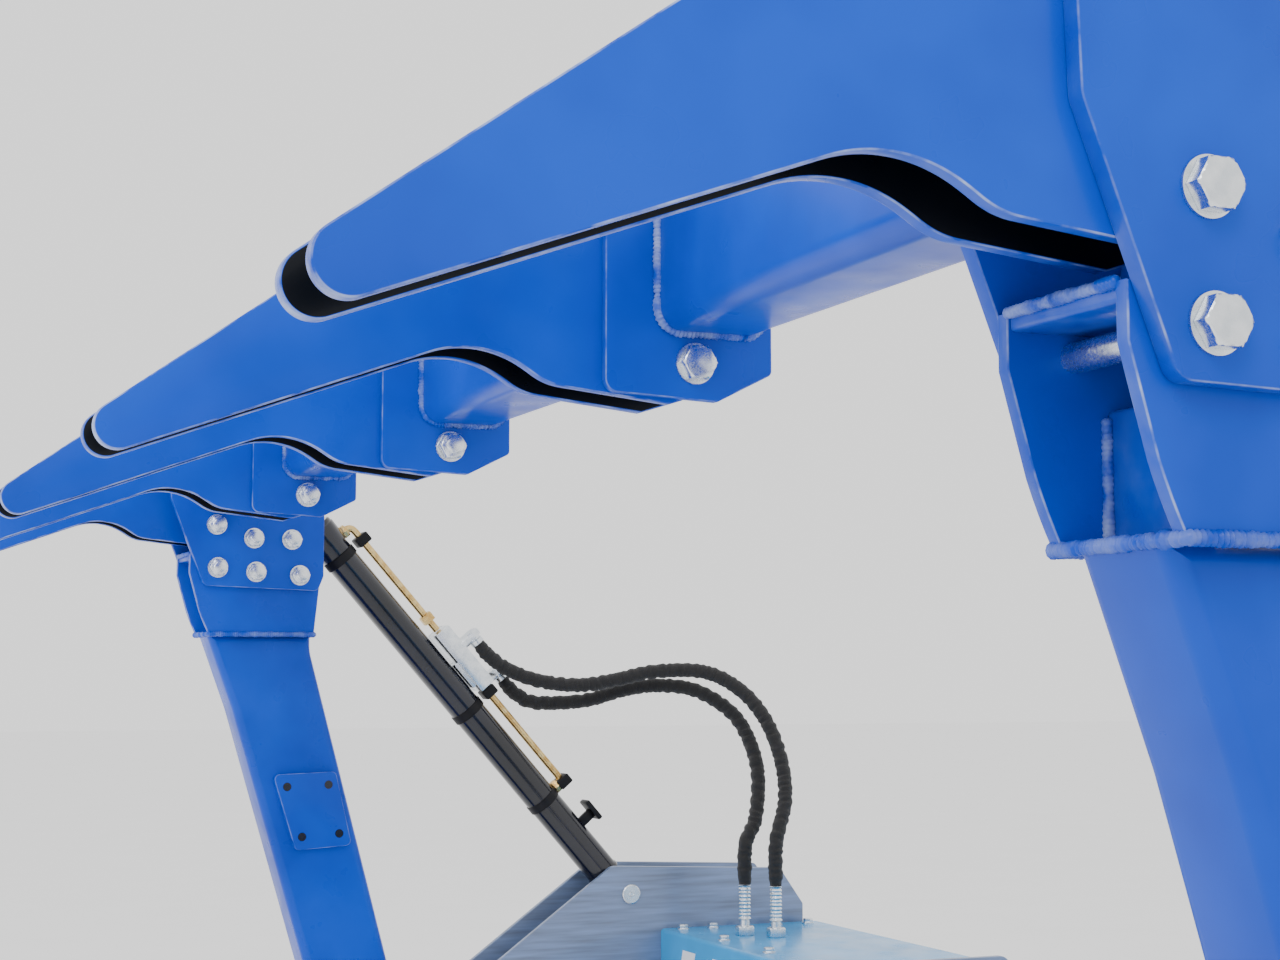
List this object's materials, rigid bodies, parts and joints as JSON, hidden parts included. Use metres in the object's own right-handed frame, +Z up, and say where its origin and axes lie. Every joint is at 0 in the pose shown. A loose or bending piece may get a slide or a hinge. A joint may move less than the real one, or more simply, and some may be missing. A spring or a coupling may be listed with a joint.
{
  "type": "hydraulic tilting arm frame",
  "caption": "Overhead frame of paired steel arms on two hinged legs, tilted by hydraulic cylinders over a low base.",
  "frame": {"origin": "on the floor, under the middle of the machine's bounding box", "axes": "+X along the row of arms to arm 0, -Y the way the arm noses point, +Z up"},
  "size_m": [3.2, 1.8238, 1.604],
  "materials": {
    "blue_frame": "gloss blue enamel on welded steel",
    "deck": "light blue enamel on folded sheet",
    "grey_base": "satin grey-blue enamel on plate",
    "barrel": "gloss black paint",
    "chrome_rod": "hard chrome, ground",
    "gold_pipe": "yellow-passivated steel",
    "zinc": "bright zinc plate",
    "hose": "rubber hose in a woven black sleeve"
  },
  "bodies": {
    "frame": {"arm_0_plate_minus": "blue_frame", "arm_0_plate_plus": "blue_frame", "arm_1_plate_minus": "blue_frame", "arm_1_plate_plus": "blue_frame", "arm_2_plate_minus": "blue_frame", "arm_2_plate_plus": "blue_frame", "arm_3_plate_minus": "blue_frame", "arm_3_plate_plus": "blue_frame", "arm_4_plate_minus": "blue_frame", "arm_4_plate_plus": "blue_frame", "bracket_bolt_1": "zinc", "bracket_bolt_2": "zinc", "bracket_bolt_3": "zinc", "bracket_plate_1": "blue_frame", "bracket_plate_2": "blue_frame", "bracket_plate_3": "blue_frame", "cross_tube_0": "blue_frame", "cross_tube_1": "blue_frame", "cross_tube_2": "blue_frame", "cross_tube_3": "blue_frame", "leg_0_head": "blue_frame", "leg_0_lower": "blue_frame", "leg_4_head": "blue_frame", "leg_4_lower": "blue_frame", "rod_pin_0": "zinc", "rod_pin_4": "zinc", "splice_0_inner": "blue_frame", "splice_0_outer": "blue_frame", "splice_4_inner": "blue_frame", "splice_4_outer": "blue_frame", "splice_bolt_0": "zinc", "splice_bolt_1": "zinc", "splice_bolt_2": "zinc", "splice_bolt_3": "zinc", "splice_bolt_4": "zinc", "splice_bolt_5": "zinc"},
    "base": {"barrel_pin_0": "zinc", "barrel_pin_4": "zinc", "base_frame": "grey_base", "base_plate_0_inner": "grey_base", "base_plate_0_outer": "grey_base", "base_plate_4_inner": "grey_base", "base_plate_4_outer": "grey_base", "centre_plate_minus": "grey_base", "centre_plate_plus": "grey_base", "deck_cover": "deck", "ferrule_lower": "zinc", "ferrule_upper": "zinc", "hinge_pin_0": "zinc", "hinge_pin_4": "zinc", "hose_lower": "hose", "hose_upper": "hose"},
    "cylinder_0": {"cylinder_0_barrel": "barrel"},
    "rod_0": {"cylinder_0_rod": "chrome_rod"},
    "cylinder_4": {"cylinder_4_barrel": "barrel", "pipe_lower": "gold_pipe", "pipe_upper": "gold_pipe", "valve_block": "zinc"},
    "rod_4": {"cylinder_4_rod": "chrome_rod"}
  },
  "joints": [
    {"name": "frame_tilt", "type": "hinge", "parent": "base", "child": "frame", "pos_m": [0, -0.06, 0.33], "axis": [1, 0, 0], "range_deg": [0, 30]},
    {"name": "cylinder_swing_0", "type": "hinge", "parent": "base", "child": "cylinder_0", "pos_m": [1.47, 0.452, 0.62], "axis": [1, 0, 0], "range_deg": [0, 25]},
    {"name": "rod_slide_0", "type": "slide", "parent": "cylinder_0", "child": "rod_0", "axis": [0, -0.6619, 0.7496], "range_m": [0, 0.31]},
    {"name": "cylinder_swing_4", "type": "hinge", "parent": "base", "child": "cylinder_4", "pos_m": [-1.47, 0.452, 0.62], "axis": [1, 0, 0], "range_deg": [0, 25]},
    {"name": "rod_slide_4", "type": "slide", "parent": "cylinder_4", "child": "rod_4", "axis": [0, -0.6619, 0.7496], "range_m": [0, 0.31]}
  ],
  "couplings": [
    {"joint": "cylinder_swing_0", "follows": "frame_tilt", "ratio": 0.814},
    {"joint": "rod_slide_0", "follows": "frame_tilt", "m_per_rad": 0.54},
    {"joint": "cylinder_swing_4", "follows": "frame_tilt", "ratio": 0.814},
    {"joint": "rod_slide_4", "follows": "frame_tilt", "m_per_rad": 0.54}
  ]
}
